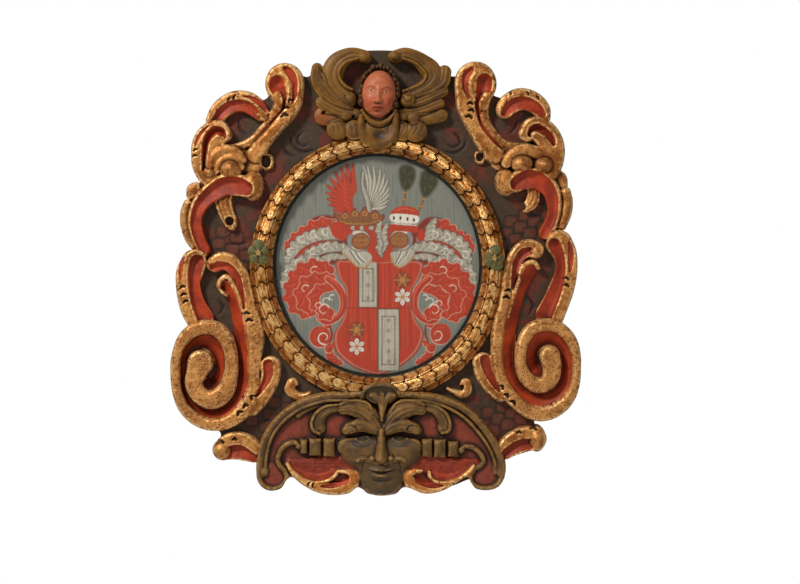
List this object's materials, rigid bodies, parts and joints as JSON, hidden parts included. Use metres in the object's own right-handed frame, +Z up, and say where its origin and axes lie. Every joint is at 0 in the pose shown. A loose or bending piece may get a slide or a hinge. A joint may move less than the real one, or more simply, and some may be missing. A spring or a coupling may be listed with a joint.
{
  "type": "carved wall cartouche",
  "caption": "Carved, gilded and painted baroque wall cartouche: oval panel of arms in a wreath frame, scrolls at the sides, cherub head on top, leaf mask below.",
  "frame": {"origin": "on the flat back, behind the centre of the oval panel", "axes": "+Z up, the front faces -Y, the flat back lies on the wall at Y = 0, +X to the right as seen from the front"},
  "size_m": [0.8191, 0.1047, 0.8978],
  "materials": {
    "gilded_body": "worn water gilding with red troughs and a dark painted ground",
    "gilded_wreath": "worn gilding with a black sight edge",
    "panel_paint": "oil paint on a wooden panel",
    "cherub_ochre": "matt ochre paint with a flesh-coloured face",
    "mask_paint": "matt brown and dark red paint with gilded leaves",
    "rosette_green": "matt green paint"
  },
  "bodies": {
    "root": {"cartouche_body": "gilded_body", "wreath_frame": "gilded_wreath", "painted_panel": "panel_paint", "cherub_head_and_wings": "cherub_ochre", "grotesque_mask": "mask_paint", "rosette_left": "rosette_green", "rosette_right": "rosette_green"}
  },
  "joints": []
}
